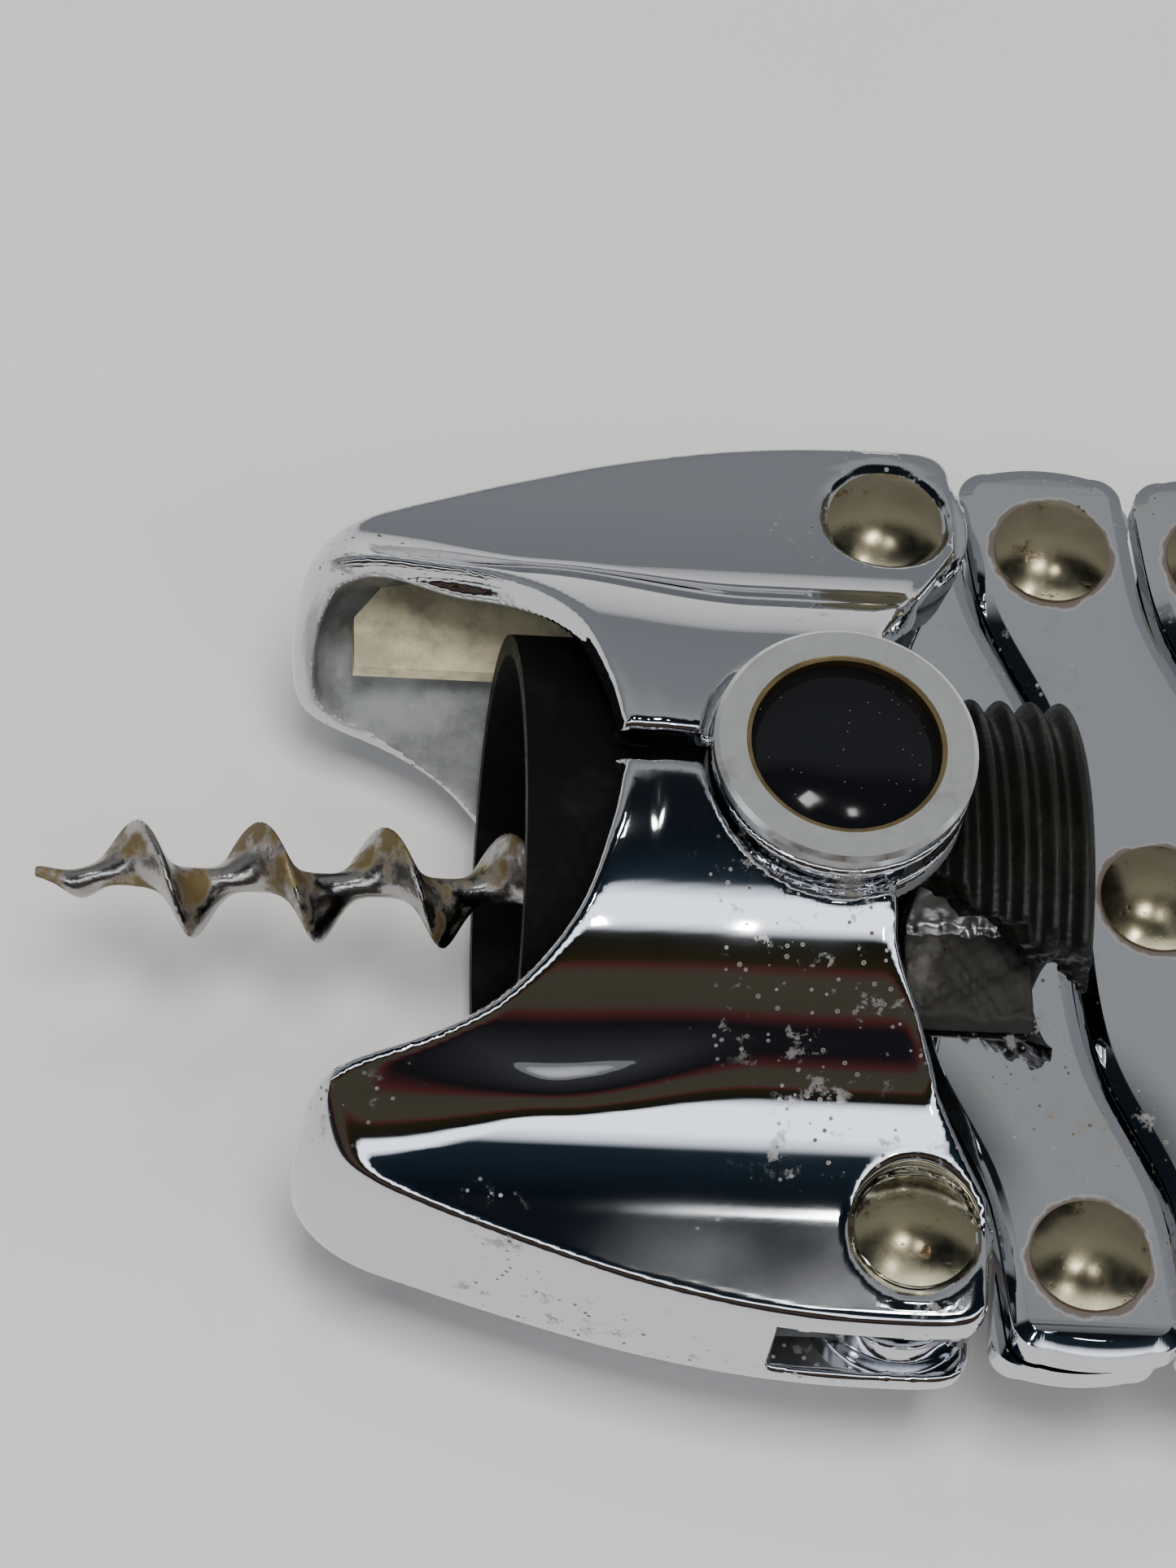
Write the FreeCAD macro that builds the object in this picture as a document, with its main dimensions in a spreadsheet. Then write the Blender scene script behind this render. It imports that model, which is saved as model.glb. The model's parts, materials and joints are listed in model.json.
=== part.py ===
import FreeCAD, Part
import Sketcher
import math
import os

from FreeCAD import Vector

# Fish-shaped lazy-tongs corkscrew, closed.  Millimetres.
# Modelling frame: origin where the jaw hinge crosses the worm's axis, +X along that axis towards the
# tail, +Y towards the fish's back, +Z out of its left side.  origin_x and axis_height move every
# sub-part to the part's own frame: middle of the length, and the face that it lies on.
# A piece and its twin on the other side are the same shape turned half a turn about the worm's axis.

DIMENSIONS = [
    ("origin_x", -23.0, "jaw hinge from the middle of the length"),
    ("axis_height", 21.0, "worm axis above the face it lies on"),
    ("rest_angle", 77.4, "angle of every bar to the worm axis, closed"),
    ("arm_1", 26.4, "jaw hinge to first outer rivet, and on to the worm pivot"),
    ("arm_2", 26.4, "worm pivot to second row, and on to second crossing"),
    ("arm_3", 26.4, "second crossing to third row, and on to third crossing"),
    ("arm_4", 24.0, "third crossing to fourth row, and on to fourth crossing"),
    ("arm_5", 20.0, "fourth crossing to fifth row, and on to the tail pivot"),
    ("layer_gap", 0.15, "half the gap between front and back bars"),
    ("bar_thick", 2.6, "thickness of a bar"),
    ("bar_edge", 0.3, "rounding of a bar's show edge"),
    ("row_width_1", 11.0, "bar width at the jaw rivets"),
    ("row_width_2", 11.0, "bar width at the second row"),
    ("row_width_3", 10.5, "bar width at the third row"),
    ("row_width_4", 8.6, "bar width at the fourth row"),
    ("row_width_5", 7.4, "bar width at the fifth row"),
    ("end_reach", 6.7, "bar end beyond its rivet"),
    ("rivet_radius", 1.9, "rivet shank"),
    ("running_fit", 0.05, "radial clearance of a rivet in its hole"),
    ("head_radius", 3.8, "domed rivet head"),
    ("head_rise", 1.4, "height of the dome"),
    ("jaw_inner", 2.95, "inside face of a jaw's rivet pad"),
    ("jaw_seat", 5.2, "jaw face under a rivet head"),
    ("cheek_radius", 19.8, "outside of the cheek"),
    ("cheek_wall", 2.5, "cheek wall"),
    ("slot_start", -2.6, "front end of the slot in the jaw's outer side"),
    ("outer_pad", 5.6, "radius of the jaw's rivet pad over the first bar"),
    ("inner_pad", 5.0, "radius of the jaw's rivet pad under the first bar"),
    ("pad_gap", 0.3, "face of the inner pad below the middle"),
    ("head_room", 0.3, "gap round a rivet head let into the jaw"),
    ("lug_radius", 8.3, "hinge lug"),
    ("lug_clear", 0.5, "gap round a hinge lug"),
    ("inner_lug_low", 14.8, "underside of the inner lug"),
    ("inner_lug_high", 17.0, "top of the inner lug"),
    ("outer_lug_low", 17.2, "underside of the outer lug"),
    ("outer_lug_high", 19.4, "top of the outer lug"),
    ("hinge_radius", 2.5, "jaw hinge pin"),
    ("hinge_low", 8.6, "inner end of the hinge pin"),
    ("bell_radius", 16.5, "outside of the bottle guide"),
    ("bell_lip", 1.3, "thickness of its rim"),
    ("bell_front", -19.4, "rim of the bottle guide"),
    ("seat_x", -10.5, "face that the bottle's lip meets"),
    ("sleeve_radius", 6.2, "sleeve round the worm"),
    ("sleeve_end", 4.6, "rear end of the sleeve"),
    ("worm_bore", 4.5, "bore that the worm runs in"),
    ("trunnion_radius", 5.2, "boss that carries the hinge pin"),
    ("trunnion_top", 14.6, "top of that boss"),
    ("eye_floor", 19.6, "underside of the eye ring"),
    ("eye_seat", 20.0, "floor inside the eye ring"),
    ("eye_radius", 6.0, "black cap in the eye"),
    ("bezel_wall", 0.3, "brass collar round the cap"),
    ("cap_rise", 0.9, "height of the cap above its floor"),
    ("worm_tip", -49.0, "point of the worm"),
    ("worm_end", -15.0, "last turn of the worm"),
    ("worm_pitch", 8.0, "pitch of the worm"),
    ("worm_radius", 2.45, "helix radius of the wire's centre"),
    ("wire_radius", 1.45, "radius of the worm's wire"),
    ("worm_eye", 4.2, "flat eye at the worm's rear end"),
    ("worm_eye_half", 1.6, "half thickness of that eye"),
    ("pocket_top", 1.75, "depth of the shank's pocket in the first bars"),
    ("grip_low", 3.0, "flat underside of the worm carrier"),
    ("core_radius", 10.8, "worm carrier under the grip"),
    ("core_half", 5.4, "half length of the worm carrier"),
    ("grip_radius", 13.8, "crest of the ribbed grip"),
    ("rib_depth", 0.8, "depth of the grooves between its ribs"),
    ("grip_half", 6.0, "half length of the grip"),
    ("hub_pin_end", 10.0, "end of the pin through the worm carrier"),
    ("liner_low", 1.8, "jaw liner, near face"),
    ("liner_thick", 1.2, "jaw liner"),
    ("tail_length", 41.0, "tail pivot to the tips of the tail"),
    ("tail_half", 5.2, "half thickness of the tail handle"),
    ("tail_spread", 24.0, "half width across the tips of the tail"),
]
SIZE = {alias: number for alias, number, _ in DIMENSIONS}
RIB_COUNT = 4

COS = math.cos(math.radians(SIZE["rest_angle"]))
SIN = math.sin(math.radians(SIZE["rest_angle"]))

doc = FreeCAD.newDocument("FishCorkscrew")
sheet = doc.addObject("Spreadsheet::Sheet", "Sizes")
for line, (alias, number, note) in enumerate(DIMENSIONS, start=1):
    sheet.set(f"A{line}", alias)
    sheet.set(f"B{line}", str(number))
    sheet.set(f"C{line}", note)
    sheet.setAlias(f"B{line}", alias)
doc.recompute()

nodes = []


# ---------------------------------------------------------------- pivots of the linkage

def arm_sum(stage):
    """Cells that add up to twice the arms before a stage."""
    return "+".join(f"2*Sizes.arm_{i}" for i in range(1, stage)) or "0"


def row_place(row):
    """x and y of the rivet at the top of a row, as expressions; the bottom one has y negative."""
    x = f"({arm_sum(row)}+Sizes.arm_{row})*cos(Sizes.rest_angle)"
    return x, f"Sizes.arm_{row}*sin(Sizes.rest_angle)"


def centre_place(stage):
    """x of a crossing on the worm axis, as an expression."""
    return f"({arm_sum(stage + 1)})*cos(Sizes.rest_angle)", "0"


HINGE = ("0", "0")


# ---------------------------------------------------------------- small makers

def place(obj, where, flipped=False):
    """Puts an object's own origin on a pivot, turned over about the worm axis for the other side."""
    if flipped:
        obj.Placement = FreeCAD.Placement(Vector(), FreeCAD.Rotation(Vector(1, 0, 0), 180))
    obj.setExpression(".Placement.Base.x", f"Sizes.origin_x+{where[0]}")
    obj.setExpression(".Placement.Base.y", f"-({where[1]})" if flipped else where[1])
    obj.setExpression(".Placement.Base.z", "Sizes.axis_height")


def node(obj, label, where, flipped=False):
    """Makes an object a sub-part with its own name and place."""
    obj.Label = label
    place(obj, where, flipped)
    nodes.append(obj)
    return obj


def sketch_on(body, plane, name, edges):
    """A sketch on one of the body's own origin planes."""
    sketch = body.newObject("Sketcher::SketchObject", name)
    support = [f for f in body.Origin.OriginFeatures if f.Role == plane][0]
    sketch.AttachmentSupport = [(support, "")]
    sketch.MapMode = "FlatFace"
    for edge in edges:
        sketch.addGeometry(edge, False)
    return sketch


def circle_sketch(body, name, centre, radius):
    """A sketch on XY holding one circle, its radius bound to an expression."""
    start = Part.Circle(Vector(centre[0], centre[1], 0), Vector(0, 0, 1), 1.0)
    sketch = sketch_on(body, "XY_Plane", name, [start])
    number = sketch.addConstraint(Sketcher.Constraint("Radius", 0, 1.0))
    sketch.setExpression(f"Constraints[{number}]", radius)
    return sketch


def pad(body, sketch, name, length, start=None, both=False):
    """Pads a sketch by a length; start lifts the sketch's plane first."""
    if start:
        sketch.setExpression(".AttachmentOffset.Base.z", start)
    feature = body.newObject("PartDesign::Pad", name)
    feature.Profile = sketch
    feature.SideType = "Symmetric" if both else "One side"
    feature.setExpression("Length", length)
    return feature


def pocket(body, sketch, name, length=None, start=None):
    """Cuts a sketch away upwards from its plane, or right through the body."""
    if start:
        sketch.setExpression(".AttachmentOffset.Base.z", start)
    feature = body.newObject("PartDesign::Pocket", name)
    feature.Profile = sketch
    if length:
        feature.Reversed = True
        feature.setExpression("Length", length)
    else:
        feature.SideType = "Symmetric"
        feature.Type = "ThroughAll"
    return feature


def turned(body, name, edges, cut=False, about="V_Axis", plane="XZ_Plane"):
    """A profile revolved about a sketch axis."""
    kind = "PartDesign::Groove" if cut else "PartDesign::Revolution"
    feature = body.newObject(kind, name)
    profile = sketch_on(body, plane, name + "Profile", edges)
    feature.Profile = profile
    feature.ReferenceAxis = (profile, [about])
    feature.Angle = 360
    return feature


def polygon(points):
    """Closed run of straight edges."""
    corners = [Vector(x, y, 0) for x, y in points]
    return [Part.LineSegment(a, b) for a, b in zip(corners, corners[1:] + corners[:1])]


def outline(start, steps):
    """Edges through points: a step of one point is a line, of two an arc through the first."""
    edges = []
    here = Vector(*start, 0)
    for step in steps:
        stop = Vector(*step[-1], 0)
        if len(step) == 1:
            edges.append(Part.LineSegment(here, stop))
        else:
            edges.append(Part.Arc(here, Vector(*step[0], 0), stop))
        here = stop
    return edges


def dome_middle(wide, base, rise):
    """Point half way along a spherical dome's profile, from its rim to its top."""
    radius = (wide * wide + rise * rise) / (2 * rise)
    half = math.asin(wide / radius) / 2
    return radius * math.sin(half), base + rise - radius + radius * math.cos(half)


def cylinder(radius, low, high, centre=(0, 0)):
    """Part cylinder along Z; its sizes are expressions."""
    shape = doc.addObject("Part::Cylinder", "Round")
    shape.setExpression("Radius", radius)
    shape.setExpression("Height", f"{high}-({low})")
    shape.setExpression(".Placement.Base.x", str(centre[0]))
    shape.setExpression(".Placement.Base.y", str(centre[1]))
    shape.setExpression(".Placement.Base.z", low)
    return shape


def block(low, high):
    """Part box between two corners given as expressions."""
    shape = doc.addObject("Part::Box", "Block")
    for side, axis, a, b in zip(("Length", "Width", "Height"), "xyz", low, high):
        shape.setExpression(side, f"{b}-({a})")
        shape.setExpression(f".Placement.Base.{axis}", a)
    return shape


def joined(shapes):
    fused = doc.addObject("Part::MultiFuse", "Joined")
    fused.Shapes = shapes
    return fused


def common(a, b):
    both = doc.addObject("Part::MultiCommon", "Both")
    both.Shapes = [a, b]
    return both


def without(base, tool):
    cut = doc.addObject("Part::Cut", "Cut")
    cut.Base = base
    cut.Tool = tool
    return cut


def prism(edges, plane, low, high):
    """A body padded from a closed outline between two levels (plain numbers) along the plane's normal."""
    body = doc.addObject("PartDesign::Body", "Prism")
    sketch = sketch_on(body, plane, "Outline", edges)
    sketch.AttachmentOffset = FreeCAD.Placement(Vector(0, 0, low), FreeCAD.Rotation())
    feature = body.newObject("PartDesign::Pad", "Pad")
    feature.Profile = sketch
    feature.Length = high - low
    return body


# ---------------------------------------------------------------- head: bottle guide and eyes

def bottle_guide():
    """Black moulded cup that sits on the bottle, its worm sleeve and the two bosses for the jaws."""
    body = doc.addObject("PartDesign::Body", "BottleGuide")
    front, rim = SIZE["bell_front"], SIZE["bell_radius"]
    inner = rim - SIZE["bell_lip"]
    seat, bore, sleeve = SIZE["seat_x"], SIZE["worm_bore"], SIZE["sleeve_radius"]
    profile = [(front, inner), (front, rim), (front + 6.4, rim), (seat + 2.4, 12.0), (seat + 3.9, sleeve),
               (SIZE["sleeve_end"], sleeve), (SIZE["sleeve_end"], bore), (seat, bore), (seat, inner - 1.2)]
    turned(body, "Cup", polygon(profile), about="H_Axis", plane="XY_Plane")
    boss = circle_sketch(body, "BossCircle", (0, 0), "Sizes.trunnion_radius")
    pad(body, boss, "Bosses", "2*Sizes.trunnion_top", both=True)
    run = [(seat, 0), (SIZE["sleeve_end"] + 2, 0), (SIZE["sleeve_end"] + 2, bore), (seat, bore)]
    turned(body, "WormBore", polygon(run), cut=True, about="H_Axis", plane="XY_Plane")
    pins = circle_sketch(body, "PinCircle", (0, 0), "Sizes.hinge_radius")
    pocket(body, pins, "PinHoles")
    node(body, "bottle_guide", HINGE)


def hinge_pin(label, flipped):
    body = doc.addObject("PartDesign::Body", "HingePin")
    sketch = circle_sketch(body, "PinCircle", (0, 0), "Sizes.hinge_radius")
    pad(body, sketch, "Pin", "Sizes.eye_floor-Sizes.hinge_low", start="Sizes.hinge_low")
    node(body, label, HINGE, flipped)


def eye_ring(label, flipped):
    """Flat-faced plated ring with a floor that the hinge pin is riveted to."""
    body = doc.addObject("PartDesign::Body", "EyeRing")
    top, wide = SIZE["axis_height"], SIZE["lug_radius"]
    bore = SIZE["eye_radius"] + SIZE["bezel_wall"]
    low, floor = SIZE["eye_floor"], SIZE["eye_seat"]
    profile = [(0, low), (wide - 0.4, low), (wide, low + 0.4), (wide, top - 0.3), (wide - 0.3, top),
               (bore, top), (bore, floor), (0, floor)]
    turned(body, "Ring", polygon(profile))
    node(body, label, HINGE, flipped)


def eye_collar(label, flipped):
    """Thin brass collar between the ring and the cap."""
    body = doc.addObject("PartDesign::Body", "EyeCollar")
    top, floor, bore = SIZE["axis_height"] - 0.1, SIZE["eye_seat"], SIZE["eye_radius"]
    wide = bore + SIZE["bezel_wall"]
    turned(body, "Collar", polygon([(bore, floor), (wide, floor), (wide, top), (bore, top)]))
    node(body, label, HINGE, flipped)


def eye_cap(label, flipped):
    """Black domed cap."""
    body = doc.addObject("PartDesign::Body", "EyeCap")
    floor, wide, rise = SIZE["eye_seat"], SIZE["eye_radius"], SIZE["cap_rise"]
    edge = floor + 0.15
    shoulder = dome_middle(wide, edge, rise - 0.15)
    edges = outline((0, floor), [
        [(wide, floor)],
        [(wide, edge)],
        [shoulder, (0, floor + rise)],
        [(0, floor)],
    ])
    turned(body, "Dome", edges)
    node(body, label, HINGE, flipped)


# ---------------------------------------------------------------- jaws

def jaw_outline():
    """Plan of a jaw: mouth edge, nose, back and rear edge round to the hinge."""
    return outline((-14.0, 1.0), [
        [(-15.4, 8.6), (-20.5, 14.7)],
        [(-25.5, 17.0), (-31.0, 18.2)],
        [(-33.8, 20.2), (-31.4, 23.3)],
        [(-22.0, 27.7), (-10.0, 30.9)],
        [(-1.0, 32.2), (8.0, 32.2)],
        [(9.9, 31.4), (10.4, 29.5)],
        [(10.2, 23.5)],
        [(4.3, 13.0)],
        [(3.5, 9.5), (3.4, 6.0)],
        [(3.4, 1.0)],
        [(-14.0, 1.0)],
    ])


def cavity_outline():
    """Plan of the hollow inside a jaw, open at the mouth and the rear."""
    return outline((-31.8, 19.9), [
        [(-31.5, 20.9), (-30.6, 21.5)],
        [(-21.3, 25.5), (-9.5, 28.6)],
        [(-0.8, 29.9), (8.0, 30.0)],
        [(14.0, 30.0)],
        [(14.0, -4.0)],
        [(-33.0, -4.0)],
        [(-31.8, 19.9)],
    ])


# Half thickness of a jaw where its round cheek ends (foot), at the crease, and at the fish's outline.
OUTER_SECTION = {"crease": 19.6, "foot": 7.3, "edge": 4.6}
INNER_SECTION = {"crease": 17.6, "foot": 5.1, "edge": 2.4}
BEYOND = 35.0
MID_ARC = 0.6


def section_outline(radius, crease, foot, edge):
    """Section across a jaw: the cheek's round, then the flatter outer part, on both faces."""
    foot_y = math.sqrt(radius * radius - foot * foot)
    arc_y, arc_z = radius * math.sin(MID_ARC), radius * math.cos(MID_ARC)
    return outline((0, radius), [
        [(arc_y, arc_z), (foot_y, foot)],
        [(crease, foot - 0.15)],
        [(BEYOND, edge)],
        [(BEYOND, -edge)],
        [(crease, -foot + 0.15)],
        [(foot_y, -foot)],
        [(arc_y, -arc_z), (0, -radius)],
        [(0, radius)],
    ])


NECK = [(-8.1, 4.0), [(-8.1, 9.5)], [(-6.0, 11.6), (-2.0, 12.4)], [(3.0, 12.4)], [(3.3, 5.0)], [(-8.1, 4.0)]]
NECK_LOW, NECK_HIGH = -17.0, -14.8
JAW_PLAN_HALF = 22
JAW_START, JAW_END = -36, 14


def jaw(label, liner_label, flipped):
    """Hollow casting: cheek over the bottle guide, two hinge lugs and a slotted pad for the first bar."""
    outer, wall = SIZE["cheek_radius"], SIZE["cheek_wall"]
    plan = prism(jaw_outline(), "XY_Plane", -JAW_PLAN_HALF, JAW_PLAN_HALF)
    section = prism(section_outline(outer, **OUTER_SECTION), "YZ_Plane", JAW_START, JAW_END)
    cavity = prism(cavity_outline(), "XY_Plane", -JAW_PLAN_HALF, JAW_PLAN_HALF)
    inner = section_outline(outer - wall, **INNER_SECTION)
    hollow = common(cavity, prism(inner, "YZ_Plane", JAW_START - 2, JAW_END + 2))
    shell = without(common(plan, section), hollow)
    clear = "Sizes.lug_radius+Sizes.lug_clear"
    recesses = joined([cylinder(clear, "Sizes.inner_lug_low-0.4", "Sizes.inner_lug_high+0.1"),
                       cylinder(clear, "Sizes.outer_lug_high", "22"),
                       cylinder(clear, "-22", "-(Sizes.inner_lug_high+0.1)")])
    pad_x = "Sizes.arm_1*cos(Sizes.rest_angle)"
    pad_y = "Sizes.arm_1*sin(Sizes.rest_angle)"
    neck = prism(outline(NECK[0], NECK[1:]), "XY_Plane", NECK_LOW, NECK_HIGH)
    solids = joined([
        without(shell, recesses),
        cylinder("Sizes.lug_radius", "Sizes.outer_lug_low", "Sizes.outer_lug_high"),
        cylinder("Sizes.lug_radius", "-Sizes.inner_lug_high", "-Sizes.inner_lug_low"),
        neck,
        cylinder("Sizes.outer_pad", "Sizes.jaw_inner", "Sizes.jaw_seat", (pad_x, pad_y)),
        cylinder("Sizes.inner_pad", "-Sizes.jaw_seat", "-Sizes.pad_gap", (pad_x, pad_y)),
    ])
    hole = "Sizes.rivet_radius+Sizes.running_fit"
    slot = block(("Sizes.slot_start", "20", "-Sizes.pad_gap"), ("14", "35", "Sizes.jaw_inner"))
    under_slot = without(block(("Sizes.slot_start", "29.5", "-Sizes.jaw_inner"), ("14", "35", "-0.2")),
                         cylinder("Sizes.inner_pad", "-4", "1", (pad_x, pad_y)))
    cuts = joined([
        cylinder("Sizes.hinge_radius+Sizes.running_fit", "-23", "23"),
        cylinder(hole, "-12", "12", (pad_x, pad_y)),
        cylinder("Sizes.head_radius+Sizes.head_room", "Sizes.jaw_seat", "12", (pad_x, pad_y)),
        cylinder("Sizes.head_radius+Sizes.head_room", "-12", "-Sizes.jaw_seat", (pad_x, pad_y)),
        slot,
        under_slot,
    ])
    node(without(solids, cuts), label, HINGE, flipped)

    liner = doc.addObject("PartDesign::Body", "Liner")
    edges = outline((-28.4, 17.3), [[(-28.4, 21.0)], [(-26.6, 23.4)], [(-17.6, 26.9), (-9.0, 28.9)],
                                    [(-9.0, 17.3)], [(-28.4, 17.3)]])
    sketch = sketch_on(liner, "XY_Plane", "Plate", edges)
    pad(liner, sketch, "Sheet", "Sizes.liner_thick", start="-(Sizes.liner_low+Sizes.liner_thick)")
    node(liner, liner_label, HINGE, flipped)


# ---------------------------------------------------------------- bars of the lazy tongs

# A bar is nearly straight in the middle and jogs out to each rivet: share of the arm's height against
# share of the arm's sideways reach, from beyond the rivet in towards the crossing.
JOG = ((1.17, 1.08), (1.0, 1.0), (0.82, 0.86), (0.52, 0.28))


def width_at(share, end_width, middle_width):
    """Full width at the rivet and beyond, narrowing evenly to the crossing's."""
    if share >= 1:
        return end_width
    return end_width * share + middle_width * (1 - share)


def side_points(arm_top, arm_low, widths, side):
    """One edge of a bar from top to bottom."""
    points = []
    for share, reach in JOG:
        half = width_at(share, widths[0], widths[1]) / 2
        points.append(Vector(-arm_top * COS * reach + side * half, arm_top * SIN * share, 0))
    points.append(Vector(side * widths[1] / 2, 0, 0))
    for share, reach in reversed(JOG):
        half = width_at(share, widths[2], widths[1]) / 2
        points.append(Vector(arm_low * COS * reach + side * half, -arm_low * SIN * share, 0))
    return points


def side_curve(points):
    curve = Part.BSplineCurve()
    curve.interpolate(points)
    return curve


CORNER_INSET, CORNER_DROP = 2.1, 0.45
CORNER_ALONG, CORNER_UP = 0.3, 0.72


def square_end(left, right, pivot, up):
    """Crowned end with rounded corners between the two sides of a bar."""
    reach = SIZE["end_reach"]
    middle = Vector((left.x + right.x) / 2, pivot.y + up * reach, 0)
    inset = math.copysign(CORNER_INSET, right.x - left.x)
    a = Vector(left.x + inset, middle.y - up * CORNER_DROP, 0)
    b = Vector(right.x - inset, middle.y - up * CORNER_DROP, 0)
    near_a = Vector(left.x + (a.x - left.x) * CORNER_ALONG, left.y + (a.y - left.y) * CORNER_UP, 0)
    near_b = Vector(right.x + (b.x - right.x) * CORNER_ALONG, right.y + (b.y - right.y) * CORNER_UP, 0)
    return [Part.Arc(left, near_a, a), Part.Arc(a, middle, b), Part.Arc(b, near_b, right)]


def bar_edges(arm_top, arm_low, widths, round_top):
    """Closed outline of a bar about its crossing."""
    left = side_points(arm_top, arm_low, widths, -1)
    right = side_points(arm_top, arm_low, widths, 1)
    top = Vector(-arm_top * COS, arm_top * SIN, 0)
    low = Vector(arm_low * COS, -arm_low * SIN, 0)
    if round_top:
        left, right = left[1:], right[1:]
        crown = [Part.Arc(left[0], top + Vector(0, widths[0] / 2, 0), right[0])]
    else:
        crown = square_end(left[0], right[0], top, 1)
    return (crown + [side_curve(right)] + square_end(right[-1], left[-1], low, -1)
            + [side_curve(list(reversed(left)))])


def bar(label, stage, flipped):
    """A bar crossing the axis; the first pair is hollowed to let the worm's shank lie between them."""
    first = stage == 1
    body = doc.addObject("PartDesign::Body", "Bar")
    widths = [SIZE[f"row_width_{stage}"], 0, SIZE[f"row_width_{stage + 1}"]]
    widths[1] = min(widths[0], widths[2] + 0.6)
    arm_top, arm_low = SIZE[f"arm_{stage}"], SIZE[f"arm_{stage + 1}"]
    sketch = sketch_on(body, "XY_Plane", "Outline", bar_edges(arm_top, arm_low, widths, first))
    blank = pad(body, sketch, "Blank", "Sizes.bar_thick", start="Sizes.layer_gap")
    doc.recompute()
    show = [f"Edge{i}" for i, edge in enumerate(blank.Shape.Edges, start=1)
            if edge.BoundBox.ZMin > SIZE["layer_gap"] + SIZE["bar_thick"] - 0.01]
    rounded = body.newObject("PartDesign::Fillet", "ShowEdge")
    rounded.Base = (blank, show)
    rounded.setExpression("Radius", "Sizes.bar_edge")
    doc.recompute()
    hole = "Sizes.rivet_radius+Sizes.running_fit"
    places = [(0, 0), (-arm_top * COS, arm_top * SIN), (arm_low * COS, -arm_low * SIN)]
    for number, spot in enumerate(places):
        pocket(body, circle_sketch(body, f"Hole{number}", spot, hole), f"Rivet{number}")
    if first:
        shank_pocket(body)
    node(body, label, centre_place(stage), flipped)


# Directions, from the worm's pivot, between which the shank swings across a first bar.
SWEEP_START, SWEEP_END = math.radians(182), math.radians(121)
SWEEP_REACH = 20.0
SHANK_ROOM = 0.8


def shank_pocket(body):
    """Hollow on the inner face, swept by the worm's shank as the bars scissor."""
    half = SIZE["wire_radius"] + SHANK_ROOM
    start = Vector(math.cos(SWEEP_START), math.sin(SWEEP_START), 0)
    stop = Vector(math.cos(SWEEP_END), math.sin(SWEEP_END), 0)
    below = Vector(-start.y, start.x, 0) * half
    above = Vector(stop.y, -stop.x, 0) * half
    corners = [below, start * SWEEP_REACH + below, (start + stop) * SWEEP_REACH * 1.2,
               stop * SWEEP_REACH + above, above]
    sector = sketch_on(body, "XY_Plane", "Sector", polygon([(corner.x, corner.y) for corner in corners]))
    pocket(body, sector, "ShankRoom", "Sizes.pocket_top-Sizes.layer_gap", start="Sizes.layer_gap")
    eye = circle_sketch(body, "EyeCircle", (0, 0), "Sizes.worm_eye+0.35")
    pocket(body, eye, "EyeRoom", "Sizes.pocket_top-Sizes.layer_gap", start="Sizes.layer_gap")


def tail_link(label, flipped):
    """Short bar from the last row to the tail pivot."""
    body = doc.addObject("PartDesign::Body", "TailLink")
    arm = SIZE["arm_5"]
    widths = [SIZE["row_width_5"], SIZE["row_width_5"], 0]
    left = side_points(arm, arm, widths, -1)[:5]
    right = side_points(arm, arm, widths, 1)[:5]
    top = Vector(-arm * COS, arm * SIN, 0)
    edges = (square_end(left[0], right[0], top, 1) + [side_curve(right)]
             + [Part.Arc(right[-1], Vector(0, -widths[1] / 2, 0), left[-1])]
             + [side_curve(list(reversed(left)))])
    sketch = sketch_on(body, "XY_Plane", "Outline", edges)
    pad(body, sketch, "Blank", "Sizes.bar_thick", start="Sizes.layer_gap")
    hole = "Sizes.rivet_radius+Sizes.running_fit"
    for number, spot in enumerate([(0, 0), (top.x, top.y)]):
        pocket(body, circle_sketch(body, f"Hole{number}", spot, hole), f"Rivet{number}")
    node(body, label, centre_place(5), flipped)


# ---------------------------------------------------------------- rivets

def rivet(label, where, half_stack, flipped=False):
    """Shank with a domed head on each side."""
    body = doc.addObject("PartDesign::Body", "Rivet")
    shank, wide, rise = SIZE["rivet_radius"], SIZE["head_radius"], SIZE["head_rise"]
    brim = 0.35
    shoulder = dome_middle(wide, half_stack + brim, rise - brim)
    edges = outline((0, half_stack + rise), [
        [shoulder, (wide, half_stack + brim)],
        [(wide, half_stack)],
        [(shank, half_stack)],
        [(shank, -half_stack)],
        [(wide, -half_stack)],
        [(wide, -half_stack - brim)],
        [(shoulder[0], -shoulder[1]), (0, -half_stack - rise)],
        [(0, half_stack + rise)],
    ])
    turned(body, "Shape", edges)
    node(body, label, where, flipped)


# ---------------------------------------------------------------- worm and its carrier

def worm_path():
    """Centre line of the worm's wire: sharp end, coil, lead-in to the axis and straight shank."""
    pivot = 2 * SIZE["arm_1"] * COS
    start = SIZE["worm_end"] - pivot
    radius, pitch, fade = SIZE["worm_radius"], SIZE["worm_pitch"], 0.62
    turns = (SIZE["worm_end"] - SIZE["worm_tip"]) / pitch - fade
    steps = 16
    points = []
    for i in range(int((turns + fade) * steps), -1, -1):
        turn = i / steps
        past = max(0.0, (turn - turns) / fade)
        close = radius * (1.0 - 0.75 * past ** 1.6)
        angle = 2 * math.pi * turn
        points.append(Vector(start - pitch * turn, -close * math.sin(angle), close * math.cos(angle)))
    sharp = 1.0 - turns / (turns + fade)
    points += [Vector(start + 1.9, 1.45, radius * 0.62), Vector(start + 4.2, 0.85, 0.3),
               Vector(start + 7.0, 0, 0), Vector(start + 10.0, 0, 0), Vector(start + 14.0, 0, 0),
               Vector(-SIZE["worm_eye"] + 1.0, 0, 0)]
    curve = Part.BSplineCurve()
    curve.interpolate(points)
    return curve, sharp


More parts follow.
